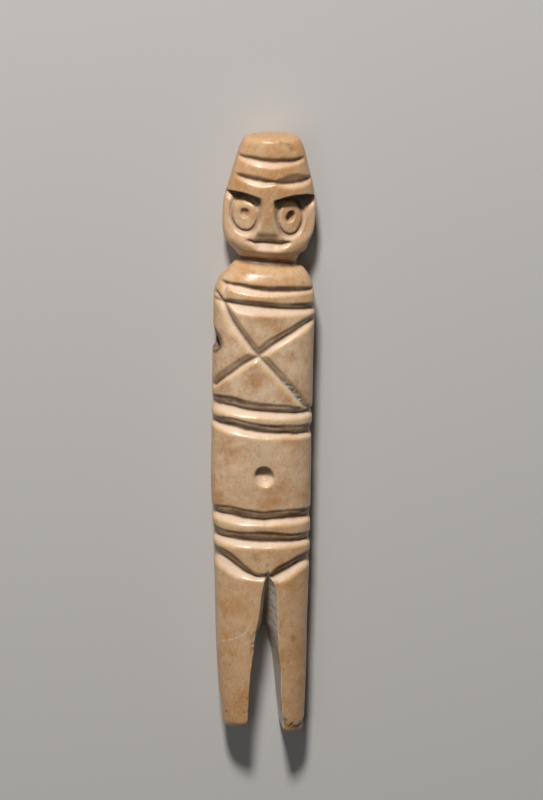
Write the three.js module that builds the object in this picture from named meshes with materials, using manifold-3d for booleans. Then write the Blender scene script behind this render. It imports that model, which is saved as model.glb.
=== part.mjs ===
// A carved bone amulet in the shape of a standing person, lying face up on its flat back.
// Millimetres. +X is the viewer's right, +Y runs towards the head, +Z is up, out of the face.
import * as THREE from 'three';
import { ConvexGeometry } from 'three/addons/geometries/ConvexGeometry.js';
import { mergeVertices } from 'three/addons/utils/BufferGeometryUtils.js';
import Module from 'manifold-3d';

const wasm = await Module();
wasm.setup();

// The main sizes. The figure and its carving are drawn below as percent of them: x of the
// width, y of the length and z of the thickness.
const LENGTH = 90;
const WIDTH = 14.9;
const THICKNESS = 8.15;

// The turned tools: the disc of an eye, the groove round it, how much taller than wide both came
// out, the drilled navel, and the hole that breaks out of the left edge.
const DISC_R = 1.9;
const RING_FLOOR_R = 2.03;
const RING_OUTER_R = 2.6;
const RING_DEPTH = 0.38;
const EYE_OVAL = 1.18;
const NAVEL_R = 1.45;
const NAVEL_DEPTH = 1.3;
const HOLE_R = 1.15;
const HOLE_REACH = 2.0;

// How far a cutter stands clear of the surface it cuts.
const CLEAR = 1.5;

// Mesh: points round a section, the longest step between two sections in percent, steps along a
// groove, points round the turned cuts, the gap that points are merged over, the shortest edge
// that a cut leaves, and the small step that gives a direction on the surface.
const AROUND = 40;
const ROW_STEP = 2.1;
const GROOVE_STEPS = 18;
const RING_SEGMENTS = 28;
const PIT_SEGMENTS = 14;
const NAVEL_SEGMENTS = 24;
const HOLE_SEGMENTS = 20;
const MERGE_GAP = 1e-4;
const SMALLEST_EDGE = 0.01;
const NUDGE = 0.004;

// How square the back of a section is, where 2 is an ellipse.
const BACK_SQUARE = 2.6;

// The blank, from the crown to the feet. left and right are its two edges, front and back its
// depths, edge the height of its widest line, square how square the front is, and slope how far
// a section drops towards the viewer's right over the whole width.
const SECTIONS = [
  { y: 50, left: -16.1, right: 23.5, front: 77.3, back: 29.4, edge: 44.2, square: 2.2, slope: 0 },
  { y: 49.44, left: -22.1, right: 30.9, front: 84.7, back: 16, edge: 45.4, square: 2.2, slope: 0 },
  { y: 48.22, left: -25.5, right: 36.2, front: 87.7, back: 4.9, edge: 46.6, square: 2.2, slope: 0.5 },
  { y: 45.56, left: -30.5, right: 40.6, front: 90.2, back: -2.5, edge: 47.9, square: 2.2, slope: 0.66 },
  { y: 41.11, left: -37.9, right: 47, front: 94.5, back: -3.7, edge: 47.9, square: 2.1, slope: 0.83 },
  { y: 37.78, left: -41.6, right: 49, front: 93.3, back: -3.7, edge: 47.9, square: 2, slope: 0.99 },
  { y: 34.78, left: -41.9, right: 47.7, front: 89.6, back: -3.7, edge: 47.9, square: 2, slope: 0.99 },
  { y: 32.67, left: -39.6, right: 43.3, front: 87.1, back: -2.5, edge: 46.6, square: 2, slope: 0.99 },
  { y: 31.33, left: -34.2, right: 40.3, front: 84.7, back: 1.2, edge: 45.4, square: 2, slope: 0.99 },
  { y: 30.44, left: -28.9, right: 34.2, front: 76.1, back: 8.6, edge: 44.2, square: 2, slope: 0.99 },
  { y: 29.44, left: -25.8, right: 31.9, front: 66.3, back: 16, edge: 42.9, square: 2, slope: 0.99 },
  { y: 28.56, left: -29.2, right: 36.6, front: 74.8, back: 11, edge: 44.2, square: 2.1, slope: 0.99 },
  { y: 27.22, left: -35.9, right: 43.6, front: 89.6, back: 2.5, edge: 46.6, square: 2.2, slope: 1.16 },
  { y: 25.44, left: -44.3, right: 48, front: 96.3, back: -2.5, edge: 47.9, square: 2.3, slope: 1.49 },
  { y: 22.78, left: -49.3, right: 50, front: 99.4, back: -3.7, edge: 49.1, square: 2.4, slope: 1.49 },
  { y: 13.33, left: -49.8, right: 49.1, front: 100, back: -3.7, edge: 49.1, square: 2.4, slope: 1.49 },
  { y: 3.33, left: -49.8, right: 49, front: 99.4, back: -3.7, edge: 49.1, square: 2.4, slope: 1.49 },
  { y: -7.78, left: -49.3, right: 49, front: 98.8, back: -3.7, edge: 49.1, square: 2.4, slope: 1.49 },
  { y: -16.67, left: -46.8, right: 49, front: 96.9, back: -3.7, edge: 49.1, square: 2.4, slope: 1.49 },
  { y: -24.44, left: -44, right: 48.7, front: 95.7, back: -3.7, edge: 49.1, square: 2.3, slope: 1.49 },
  { y: -34.44, left: -41.6, right: 47.7, front: 93.3, back: -3.7, edge: 47.9, square: 2.3, slope: 1.49 },
  { y: -42.22, left: -38.3, right: 47, front: 90.8, back: -2.5, edge: 46.6, square: 2.3, slope: 1.32 },
  { y: -46.89, left: -34.9, right: 46.6, front: 88.3, back: 0, edge: 45.4, square: 2.3, slope: 0.99 },
  { y: -49, left: -30.9, right: 44.3, front: 84.7, back: 2.5, edge: 44.2, square: 2.3, slope: 0.5 },
  { y: -50, left: -25.5, right: 39.6, front: 74.8, back: 9.8, edge: 42.9, square: 2.3, slope: 0 },
];

// Knife grooves. path runs from the viewer's left to the right: x and y of the keel on the
// front, then the widths of the steep wall on the head's side and of the long rake on the feet's
// side. wrap carries a groove on round both sides of the figure, in degrees, until it fades.
const GROOVES = [
  // Upper cap groove
  { path: [[-27.5, 46.84, 0.14, 0.31], [-16.8, 46.74, 0.43, 1.13], [-6.7, 46.53, 0.57, 1.2],
    [4, 46.44, 0.63, 1.26], [14.1, 46.43, 0.66, 1.07], [24.2, 46.46, 0.63, 0.71],
    [34.9, 46.84, 0.29, 0.41]],
    depth: 6.1, wrap: 12 },
  // Lower cap groove, left
  { path: [[-30.2, 43.94, 0.29, 0.11], [-20.8, 43.76, 0.69, 0.8], [-10.7, 43.57, 0.69, 1.16],
    [-1.3, 43.4, 0.57, 0.91], [8.7, 43.4, 0.24, 0.12]],
    depth: 6.1, wrap: 16 },
  // Lower cap groove, right
  { path: [[5.4, 43.04, 0.26, 0.1], [14.8, 42.96, 1.11, 0.63], [24.2, 43.01, 1.64, 0.88],
    [33.6, 43.17, 1.32, 0.86], [43, 43.41, 0.29, 0.4]],
    depth: 7.1, wrap: 16 },
  // Mouth
  { path: [[-18.8, 32.84, 0.23, 0.33], [-8.1, 32.64, 0.58, 1.48], [2.7, 32.6, 0.87, 1.71],
    [12.8, 32.61, 0.81, 1.22], [23.5, 32.89, 0.24, 0.37]],
    depth: 8.1, wrap: 0 },
  // Collar, upper
  { path: [[-40.3, 25.46, 0.17, 0.47], [-25.5, 25.42, 0.46, 1.38], [-11.4, 25.17, 0.7, 1.23],
    [3.4, 25.1, 0.86, 1.06], [18.1, 25.2, 0.83, 0.87], [32.2, 25.35, 0.71, 0.67],
    [47, 25.43, 0.23, 0.49]],
    depth: 6.4, wrap: 22 },
  // Collar, lower
  { path: [[-43.6, 22.31, 0.58, 0.42], [-28.2, 22.33, 0.83, 1.6], [-12.8, 22.35, 0.92, 1.77],
    [2.7, 22.26, 1.04, 1.53], [18.1, 22.27, 1.01, 1.34], [33.6, 22.35, 1.07, 1.1],
    [49, 22.33, 0.92, 0.63]],
    depth: 8.6, wrap: 22 },
  // Waist, upper
  { path: [[-49, 4.92, 1.49, 1.32], [-32.9, 5.11, 1.82, 1.63], [-16.8, 4.84, 1.68, 1.39],
    [-0.7, 4.77, 1.54, 1.2], [15.4, 4.79, 1.48, 1.22], [31.5, 4.88, 1.22, 1.04],
    [47.7, 5.04, 0.62, 0.83]],
    depth: 9.3, wrap: 24 },
  // Waist, lower
  { path: [[-49, 1.8, 1.08, 0.7], [-32.9, 1.81, 1.49, 1.36], [-16.8, 1.43, 1.58, 1.16],
    [-0.7, 1.29, 1.59, 1.14], [15.4, 1.32, 1.6, 0.88], [31.5, 1.37, 1.6, 0.73],
    [47.7, 1.47, 1.48, 0.66]],
    depth: 9.3, wrap: 24 },
  // Hips, upper
  { path: [[-47, -13.27, 1.12, 1.16], [-31.5, -13.23, 1.61, 1.54], [-15.4, -13.48, 1.63, 1.24],
    [0, -13.42, 1.54, 1.07], [15.4, -13.16, 1.6, 1.13], [30.9, -12.82, 1.59, 1.13],
    [47, -12.67, 1.42, 0.82]],
    depth: 9.3, wrap: 24 },
  // Hips, lower
  { path: [[-46.3, -17.19, 1.68, 0.96], [-30.9, -17.16, 1.42, 1.47], [-15.4, -17.27, 1.66, 1.22],
    [0, -17.19, 1.92, 1.16], [15.4, -17.02, 1.7, 1.07], [31.5, -16.8, 1.42, 0.88],
    [47, -16.57, 1.31, 0.76]],
    depth: 9.3, wrap: 24 },
  // Groin, left
  { path: [[-45, -20.23, 1.33, 1.91], [-35.6, -20.84, 1.6, 2.13], [-25.5, -21.74, 1.49, 1.78],
    [-15.4, -22.59, 1.08, 1.1], [-5.4, -23.09, 0.41, 0.68]],
    depth: 10.1, wrap: 20 },
  // Groin, right
  { path: [[9.4, -23.1, 0.78, 0.31], [18.8, -22.26, 1.29, 1.46], [28.2, -21.42, 1.28, 1.56],
    [37.6, -20.53, 1.23, 1.33], [46.3, -19.74, 1.14, 1.2]],
    depth: 10.1, wrap: 20 },
  // Cross, falling
  { path: [[-47.7, 23.36, 0.56, 0.56], [-40.4, 21.81, 0.83, 1.11], [-33.2, 19.58, 0.92, 1.19],
    [-22, 17.15, 0.92, 1.19], [-9.6, 14.76, 0.92, 1.11], [3, 12.72, 0.92, 1],
    [18.2, 10.15, 0.94, 0.94], [33.6, 7.53, 0.89, 0.94], [43.7, 5.67, 0.56, 0.67]],
    depth: 8.1, wrap: 0 },
  // Cross, rising
  { path: [[-48.7, 7.95, 1, 0.56], [-35.8, 10.42, 1.11, 0.63], [-19.2, 12.77, 1.11, 0.63],
    [-6.4, 14.16, 1.11, 0.78], [5.1, 15.9, 1.11, 1], [24.8, 18.07, 1.11, 1], [40.1, 19.69, 1, 1],
    [46.7, 20.34, 0.78, 0.78]],
    depth: 8.1, wrap: 6 },
];

// A groove starts and ends at this share of its full size, and reaches it within this share of
// its own length. A cutter's lips stand this many groove depths above the keel.
const GROOVE_TIP = 0.12;
const GROOVE_SWELL = 0.12;
const GROOVE_LIP = 2.0;

// The face: the sunk field of each eye as corners on the front, upper edge first, with the
// height of each corner, and the nose left standing between the two fields. A field opens by the
// spread as it rises by the lift.
const EYE_FIELDS = [
  [[-44.3, 41.78, 54], [-6, 40, 84.7], [-8.4, 34.45, 85.9], [-40.3, 34.23, 62.6]],
  [[7.7, 40.12, 84.7], [52.3, 41.34, 51.5], [47, 33.78, 62.6], [9.1, 34.45, 85.9]],
];
const NOSE_UNDERSIDE = [[-10.1, 34.5, 85.3], [10.7, 34.5, 85.3],
  [12.8, 33.56, 83.4], [-12.8, 33.56, 83.4]];
const FIELD_SPREAD = 1.04;
const FIELD_LIFT = 40;

// The middle of each eye, the turn of its disc in degrees, and its pit: shallow on the viewer's
// left, deep on the right.
const EYES = [
  { at: [-21.6, 37.34, 74], turn: -24, pit: 0.58, pitDepth: 0.25 },
  { at: [23.4, 36.8, 75.2], turn: 22, pit: 0.62, pitDepth: 0.7 },
];
const PIT_TAPER = 0.25;

const NAVEL_AT = [0.9, -6.11];
const HOLE_AT = [-48.3, 15.6, 45.4];
const HOLE_TURN = 25;

// The gap between the legs: a throat that slopes down from the crotch to the back, and the open
// slot below it. Both are drawn as outlines on the front and on the back.
const FORK_THROAT = {
  front: [[6.4, -21.44], [14.1, -25.56], [17.4, -31.56], [-3, -31.56], [-0.3, -26.67]],
  back: [[6.4, -32.44]],
};
const FORK_SLOT = {
  front: [[17.4, -31.44], [24.8, -51.11], [-12.8, -51.11], [-8.4, -37.78], [-3, -31.44]],
  back: [[6.4, -32.44], [11.7, -35.22], [24.5, -51.11], [-11.4, -51.11], [0.7, -35.22]],
};

// The viewer's left foot ends higher than the right, the inner corners of both are worn off, and
// the right one has lost a chip.
const LEFT_FOOT_END = -48.78;
const FOOT_CORNERS = [
  [[17.4, -46.67], [30.9, -50.67], [17.4, -50.67]],
  [[-6, -47.11], [-6, -49.78], [-18.1, -49.78]],
];
const CHIP = [[24.2, -50.33, 93.3], [41.6, -50.33, 88.3], [37.6, -48.11, 88.3],
  [28.2, -48.33, 93.3], [30.9, -50.33, 73.6]];

// A place well outside the figure, in percent, for cuts that run right out of it.
const OUTSIDE = 100;

const acrossOf = (percent) => (percent * WIDTH) / 100;
const alongOf = (percent) => (percent * LENGTH) / 100;
const upOf = (percent) => (percent * THICKNESS) / 100;

function spot([x, y, z]) {
  return new THREE.Vector3(acrossOf(x), alongOf(y), upOf(z));
}

// Reads one measure of the blank anywhere along it, without overshoot between the sections.
function measure(key, y) {
  const last = SECTIONS.length - 1;
  let i = 0;
  while (i < last - 1 && y < SECTIONS[i + 1].y) i += 1;
  const rise = (k) => (
    (SECTIONS[k + 1][key] - SECTIONS[k][key]) / (SECTIONS[k + 1].y - SECTIONS[k].y)
  );
  const tangent = (k) => {
    if (k === 0) return rise(0);
    if (k === last) return rise(last - 1);
    const before = rise(k - 1);
    const after = rise(k);
    return before * after > 0 ? (2 * before * after) / (before + after) : 0;
  };
  const gap = SECTIONS[i + 1].y - SECTIONS[i].y;
  const t = THREE.MathUtils.clamp((y - SECTIONS[i].y) / gap, 0, 1);
  const from = SECTIONS[i][key];
  const to = SECTIONS[i + 1][key];
  const ease = t * t * (3 - 2 * t);
  const bend = t * (1 - t) * ((1 - t) * tangent(i) - t * tangent(i + 1)) * gap;
  return from + (to - from) * ease + bend;
}

// A point on the blank. The angle is 0 on the front and 90 degrees on the viewer's right.
function surface(angle, y) {
  const left = measure('left', y);
  const right = measure('right', y);
  const edge = measure('edge', y);
  const side = Math.sin(angle);
  const lift = Math.cos(angle);
  const square = lift > 0 ? measure('square', y) : BACK_SQUARE;
  const reach = Math.sign(side) * Math.abs(side) ** (2 / square);
  const rise = Math.abs(lift) ** (2 / square);
  const depth = lift > 0 ? measure('front', y) - edge : measure('back', y) - edge;
  const x = (left + right) / 2 + ((right - left) / 2) * reach;
  return spot([x, y - (measure('slope', y) * x) / 100, edge + depth * rise]);
}

// The angle at which the front of the blank has a given x.
function angleAt(x, y) {
  const left = measure('left', y);
  const right = measure('right', y);
  const share = THREE.MathUtils.clamp((2 * x - left - right) / (right - left), -1, 1);
  return Math.sign(share) * Math.asin(Math.abs(share) ** (measure('square', y) / 2));
}

function toSolid(geometry) {
  geometry.deleteAttribute('normal');
  geometry.deleteAttribute('uv');
  const merged = mergeVertices(geometry, MERGE_GAP);
  return new wasm.Manifold(new wasm.Mesh({
    numProp: 3,
    vertProperties: new Float32Array(merged.attributes.position.array),
    triVerts: new Uint32Array(merged.index.array),
  }));
}

// Moves every point of a geometry to where a function of the old point puts it.
function reshape(geometry, place) {
  const points = geometry.attributes.position;
  const point = new THREE.Vector3();
  for (let i = 0; i < points.count; i += 1) {
    point.fromBufferAttribute(points, i);
    const moved = place(point);
    points.setXYZ(i, moved.x, moved.y, moved.z);
  }
  return geometry;
}

// Rows of the blank: every section, with more rows between sections that are far apart.
function rowPlaces() {
  const places = [];
  for (let i = 0; i < SECTIONS.length - 1; i += 1) {
    const gap = SECTIONS[i].y - SECTIONS[i + 1].y;
    const steps = Math.ceil(gap / ROW_STEP);
    for (let k = 0; k < steps; k += 1) places.push(SECTIONS[i].y - (gap * k) / steps);
  }
  places.push(SECTIONS[SECTIONS.length - 1].y);
  return places;
}

function blank() {
  const places = rowPlaces();
  const rows = places.length - 1;
  const tube = new THREE.CylinderGeometry(1, 1, 1, AROUND, rows);
  return toSolid(reshape(tube, (p) => {
    const y = places[Math.round((0.5 - p.y) * rows)];
    const rim = surface(Math.atan2(p.x, p.z), y);
    const middle = spot([(measure('left', y) + measure('right', y)) / 2, y, measure('edge', y)]);
    return middle.lerp(rim, Math.hypot(p.x, p.z));
  }));
}

// The keel of a groove as a smooth line of angles and places, and its widths beside it.
function groovePath({ path, wrap }) {
  const turn = THREE.MathUtils.degToRad(wrap);
  const keel = path.map(([x, y]) => new THREE.Vector2(angleAt(x, y), y));
  const widths = path.map(([, , wall, rake]) => new THREE.Vector2(alongOf(wall), alongOf(rake)));
  if (turn > 0) {
    const first = keel[0].clone();
    const end = keel[keel.length - 1].clone();
    keel.unshift(new THREE.Vector2(first.x + Math.sign(first.x) * turn, first.y));
    keel.push(new THREE.Vector2(end.x + Math.sign(end.x) * turn, end.y));
    widths.unshift(widths[0].clone());
    widths.push(widths[widths.length - 1].clone());
  }
  return { line: new THREE.SplineCurve(keel), span: new THREE.SplineCurve(widths) };
}

// One groove: a three-sided bar laid along the path, with its keel sunk into the surface.
function groove(spec) {
  const { line, span } = groovePath(spec);
  const bar = new THREE.CylinderGeometry(1, 1, 1, 3, GROOVE_STEPS);
  return toSolid(reshape(bar, (p) => {
    const t = p.y + 0.5;
    const here = line.getPoint(t);
    const width = span.getPoint(t);
    const before = line.getPoint(Math.max(0, t - NUDGE));
    const after = line.getPoint(Math.min(1, t + NUDGE));
    const origin = surface(here.x, here.y);
    const along = surface(after.x, after.y).sub(surface(before.x, before.y)).normalize();
    const uphill = surface(here.x, here.y + NUDGE).sub(origin).normalize();
    const around = surface(here.x + NUDGE, here.y).sub(origin).normalize();
    const out = around.cross(uphill).normalize();
    const across = out.clone().cross(along).normalize();
    const swell = Math.min(1, t / GROOVE_SWELL, (1 - t) / GROOVE_SWELL);
    const fade = GROOVE_TIP + (1 - GROOVE_TIP) * swell;
    const keel = origin.clone().addScaledVector(out, -upOf(spec.depth) * fade);
    const corner = Math.round((Math.atan2(p.x, p.z) * 3) / (2 * Math.PI) + 3) % 3;
    if (Math.hypot(p.x, p.z) < 0.5) return origin;
    if (corner === 0) return keel;
    const reach = (corner === 1 ? width.x : -width.y) * fade;
    const lip = origin.clone().addScaledVector(across, reach);
    return keel.lerp(lip, GROOVE_LIP);
  }));
}

function hull(points) {
  return toSolid(new ConvexGeometry(points));
}

// A flat field cut into the face, open upwards.
function field(corners) {
  const lifted = corners.map(([x, y, z]) => [x * FIELD_SPREAD, y, z + FIELD_LIFT]);
  return hull([...corners, ...lifted].map(spot));
}

// The turned groove round an eye, and the pit in the eye.
function eye({ at, turn, pit, pitDepth }) {
  const out = RING_OUTER_R + (RING_OUTER_R - RING_FLOOR_R) * (CLEAR / RING_DEPTH);
  const profile = [
    [RING_FLOOR_R, -RING_DEPTH],
    [out, CLEAR],
    [DISC_R, CLEAR],
    [DISC_R, 0],
    [RING_FLOOR_R, -RING_DEPTH],
  ].map(([r, z]) => new THREE.Vector2(r, z));
  const ring = new THREE.LatheGeometry(profile, RING_SEGMENTS).rotateX(Math.PI / 2);
  const bore = new THREE.CylinderGeometry(pit * (1 + PIT_TAPER), pit * (1 - PIT_TAPER),
    pitDepth + CLEAR, PIT_SEGMENTS).rotateX(Math.PI / 2).translate(0, 0, (CLEAR - pitDepth) / 2);
  return toSolid(ring.scale(1, EYE_OVAL, 1)).add(toSolid(bore)).rotate([0, turn, 0])
    .translate(spot(at).toArray());
}

// A cone with its point at the bottom of the navel and its rim on the front.
function navel() {
  const top = spot([NAVEL_AT[0], NAVEL_AT[1], measure('front', NAVEL_AT[1])]);
  const cone = new THREE.ConeGeometry(NAVEL_R * 2, NAVEL_DEPTH * 2, NAVEL_SEGMENTS)
    .rotateX(-Math.PI / 2);
  return toSolid(cone.translate(...top.toArray()));
}

function sideHole() {
  const bore = new THREE.CylinderGeometry(HOLE_R, HOLE_R, HOLE_REACH * 2, HOLE_SEGMENTS)
    .rotateZ(Math.PI / 2);
  return toSolid(bore).rotate([0, HOLE_TURN, 0]).translate(spot(HOLE_AT).toArray());
}

// A cutter right through the figure, from an outline above the front to one below the back.
function through({ front, back }) {
  const top = front.map(([x, y]) => spot([x, y, 0]).setZ(THICKNESS + CLEAR));
  const bottom = back.map(([x, y]) => spot([x, y, 0]).setZ(-CLEAR));
  return hull([...top, ...bottom]);
}

function block(from, to) {
  const size = to.clone().sub(from);
  const middle = from.clone().add(to).multiplyScalar(0.5);
  return toSolid(new THREE.BoxGeometry(...size.toArray()).translate(...middle.toArray()));
}

let body = blank();
const cutters = [
  ...GROOVES.map(groove),
  ...EYE_FIELDS.map(field),
  field(NOSE_UNDERSIDE),
  navel(),
  sideHole(),
  through(FORK_THROAT),
  through(FORK_SLOT),
  ...FOOT_CORNERS.map((outline) => through({ front: outline, back: outline })),
  hull(CHIP.map(spot)),
  block(spot([-OUTSIDE, -OUTSIDE, -OUTSIDE]), spot([OUTSIDE, OUTSIDE, 0])),
  block(spot([-OUTSIDE, -OUTSIDE, -OUTSIDE]), spot([0, LEFT_FOOT_END, OUTSIDE * 2])),
];
for (const cutter of cutters) body = body.subtract(cutter);
for (const spec of EYES) body = body.subtract(eye(spec));
body = body.simplify(SMALLEST_EDGE);

const cut = body.getMesh();
const geometry = new THREE.BufferGeometry();
geometry.setAttribute('position', new THREE.BufferAttribute(cut.vertProperties, 3));
geometry.setIndex(new THREE.BufferAttribute(cut.triVerts, 1));
geometry.computeVertexNormals();

const bone = new THREE.MeshStandardMaterial({ name: 'compact_bone', color: 0xc8a57a, roughness: 0.4 });
const figure = new THREE.Mesh(geometry, bone);
figure.name = 'bone_figure';

const group = new THREE.Group();
group.name = 'bone_amulet';
group.add(figure);
export default group;
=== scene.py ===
# %% [markdown]
# # A carved bone amulet
# The object is one slip of compact bone, 90 mm long, cut with a knife into a standing figure.
# It lies on its flat back, face up, with its head towards +Y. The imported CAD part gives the
# frame and the size. It could be shown as it is, but its facets are coarse, so one finely
# carved skin takes its place here.

# %% Load the frame
import math

import bmesh
import bpy
import numpy as np
from mathutils import Matrix, Vector


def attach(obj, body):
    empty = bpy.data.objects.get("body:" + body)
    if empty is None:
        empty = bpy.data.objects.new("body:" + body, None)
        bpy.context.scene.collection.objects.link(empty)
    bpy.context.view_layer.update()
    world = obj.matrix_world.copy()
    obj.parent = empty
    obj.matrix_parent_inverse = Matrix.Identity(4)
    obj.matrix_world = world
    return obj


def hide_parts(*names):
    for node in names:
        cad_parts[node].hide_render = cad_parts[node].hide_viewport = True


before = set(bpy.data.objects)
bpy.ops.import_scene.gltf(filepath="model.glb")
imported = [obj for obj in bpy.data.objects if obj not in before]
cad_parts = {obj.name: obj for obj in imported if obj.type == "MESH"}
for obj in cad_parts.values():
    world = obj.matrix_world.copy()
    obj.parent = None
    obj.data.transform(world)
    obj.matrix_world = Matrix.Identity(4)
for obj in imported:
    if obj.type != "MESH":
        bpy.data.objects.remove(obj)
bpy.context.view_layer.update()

MM = 0.001

# %% [markdown]
# ## The blank
# Before any detail is cut, the maker shapes a blank: a flattened bar with a crown, a neck,
# shoulders and tapering legs. It could be a sculpted sphere, but a bar like this is described
# best by its cross sections. Each row holds the place along the figure, the left and right
# edges, the front and back depths, the height of the widest line, how square the front is, and
# how far the section drops towards the viewer's right, because the maker's lines all slope.

# %% Cross sections of the blank, in millimetres
SECTIONS = np.array([
    # y, left, right, front, back, edge, square, slope
    [-45.0, -4.7, 6.3, 6.5, 0.6, 3.5, 2.4, 0.0],
    [-44.4, -5.0, 6.75, 7.0, 0.15, 3.6, 2.3, 0.03],
    [-42.2, -5.2, 6.95, 7.2, 0.0, 3.7, 2.3, 0.06],
    [-38.0, -5.7, 7.0, 7.4, -0.2, 3.8, 2.3, 0.08],
    [-31.0, -6.2, 7.1, 7.6, -0.3, 3.9, 2.3, 0.09],
    [-22.0, -6.55, 7.25, 7.8, -0.3, 4.0, 2.3, 0.09],
    [-15.0, -6.98, 7.3, 7.9, -0.3, 4.0, 2.4, 0.09],
    [-7.0, -7.35, 7.3, 8.05, -0.3, 4.0, 2.4, 0.09],
    [3.0, -7.42, 7.3, 8.1, -0.3, 4.0, 2.4, 0.09],
    [12.0, -7.42, 7.32, 8.15, -0.3, 4.0, 2.4, 0.09],
    [20.5, -7.35, 7.45, 8.1, -0.3, 4.0, 2.4, 0.09],
    [22.9, -6.6, 7.15, 7.85, -0.2, 3.9, 2.3, 0.09],
    [24.5, -5.35, 6.5, 7.3, 0.2, 3.8, 2.2, 0.07],
    [25.7, -4.35, 5.45, 6.1, 0.9, 3.6, 2.1, 0.06],
    [26.5, -3.85, 4.75, 5.4, 1.3, 3.5, 2.0, 0.06],
    [27.4, -4.3, 5.1, 6.2, 0.7, 3.6, 2.0, 0.06],
    [28.2, -5.1, 6.0, 6.9, 0.1, 3.7, 2.0, 0.06],
    [29.4, -5.9, 6.45, 7.1, -0.2, 3.8, 2.0, 0.06],
    [31.3, -6.25, 7.1, 7.3, -0.3, 3.9, 2.0, 0.06],
    [34.0, -6.2, 7.3, 7.6, -0.3, 3.9, 2.0, 0.06],
    [37.0, -5.65, 7.0, 7.7, -0.3, 3.9, 2.1, 0.05],
    [41.0, -4.55, 6.05, 7.35, -0.2, 3.9, 2.2, 0.04],
    [43.4, -3.8, 5.4, 7.15, 0.4, 3.8, 2.2, 0.03],
    [44.5, -3.3, 4.6, 6.9, 1.3, 3.7, 2.3, 0.0],
    [45.0, -2.4, 3.5, 6.3, 2.4, 3.6, 2.3, 0.0],
])
BACK_SQUARE = 2.6
HALF_LENGTH = 45.0


def flow(at, places, values):
    """A smooth line through a few measured points, which never swings past them."""
    places, values = np.asarray(places, float), np.asarray(values, float)
    gaps = np.diff(places)
    rise = np.diff(values) / gaps
    tangent = np.concatenate([rise[:1], np.zeros(len(rise) - 1), rise[-1:]])
    if len(rise) > 1:
        before, after = rise[:-1], rise[1:]
        same_way = before * after > 0
        total = np.where(same_way, before + after, 1.0)
        tangent[1:-1] = np.where(same_way, 2 * before * after / total, 0.0)
    i = np.clip(np.searchsorted(places, at) - 1, 0, len(gaps) - 1)
    t = np.clip((at - places[i]) / gaps[i], 0, 1)
    bend = t * (1 - t) * ((1 - t) * tangent[i] - t * tangent[i + 1]) * gaps[i]
    return values[i] + (values[i + 1] - values[i]) * t * t * (3 - 2 * t) + bend


def section(angle, y):
    """The outline of the blank: 0 is the middle of the front, 90 degrees the viewer's right."""
    left, right, front, back, edge, square = (flow(y, SECTIONS[:, 0], SECTIONS[:, k])
                                              for k in range(1, 7))
    side, lift = np.sin(angle), np.cos(angle)
    power = 2 / np.where(lift > 0, square, BACK_SQUARE)
    x = (left + right) / 2 + (right - left) / 2 * np.sign(side) * np.abs(side) ** power
    z = edge + np.where(lift > 0, front - edge, back - edge) * np.abs(lift) ** power
    return x, z


middle_x, middle_z = section(0.0, 12.0)
print("front of the chest, mm:", round(float(middle_x), 2), round(float(middle_z), 2))

# %% [markdown]
# ## Where the skin needs detail
# A knife stroke is only a quarter of a millimetre wide, while the plain legs need little.
# Rows are therefore laid close together where something is cut, and wide apart elsewhere, and
# most columns go to the front. The skin stays under the limit of faces that way.

# %% Places of the rows and columns
ROW_STEPS = [
    # from y, to y, step
    (-45.0, -32.4, 0.25), (-32.4, -26.0, 0.17), (-26.0, -22.5, 0.25), (-22.5, -9.8, 0.14),
    (-9.8, -7.4, 0.22), (-7.4, -3.6, 0.14), (-3.6, -0.4, 0.22), (-0.4, 45.0, 0.138),
]
COLUMNS = 140
CAP_ROWS = 14

rows_y = np.concatenate([
    np.linspace(start, stop, round((stop - start) / step), endpoint=False)
    for start, stop, step in ROW_STEPS
] + [[HALF_LENGTH]])
rows_shrink = np.ones_like(rows_y)
cap = np.sin(np.linspace(0, math.pi / 2, CAP_ROWS + 1))[:-1]
rows_y = np.concatenate([
    np.full(CAP_ROWS, -HALF_LENGTH), rows_y, np.full(CAP_ROWS, HALF_LENGTH)])
rows_shrink = np.concatenate([cap, rows_shrink, cap[::-1]])
print("rows and columns:", len(rows_y), COLUMNS)

# %% [markdown]
# ## Spacing the columns
# A column at equal angles would crowd at the edges of such a flat section. Each section is
# measured with a fine tape first, and the columns are then spread evenly along it, with the
# unseen back given fewer. The tape also tells how far a point lies from the middle of the
# front, and the grooves are laid out on that.

# %% Angle and tape length of every point of the skin
TAPE_STEPS = 1440
SEEN_ANGLE = math.radians(104)
BACK_SHARE = 0.33

fine_angle = np.linspace(-math.pi, math.pi, TAPE_STEPS + 1)
columns_angle = np.empty((len(rows_y), COLUMNS + 1))
tape = np.empty_like(columns_angle)
for i, y in enumerate(rows_y):
    fine_x, fine_z = section(fine_angle, np.full_like(fine_angle, y))
    step = np.hypot(np.diff(fine_x), np.diff(fine_z))
    length = np.concatenate([[0], np.cumsum(step)])
    seen = np.where(np.abs(fine_angle[1:]) < SEEN_ANGLE, 1.0, BACK_SHARE)
    spread = np.concatenate([[0], np.cumsum(step * seen)])
    place = np.linspace(0, spread[-1], COLUMNS + 1)
    columns_angle[i] = np.interp(place, spread, fine_angle)
    tape[i] = np.interp(place, spread, length) - np.interp(0, fine_angle, length)
print("half way round the chest, mm:", round(float(tape[len(rows_y) // 2].max()), 2))

# %% The blank as a grid of points
CROWN_DOME = 0.12

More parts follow.
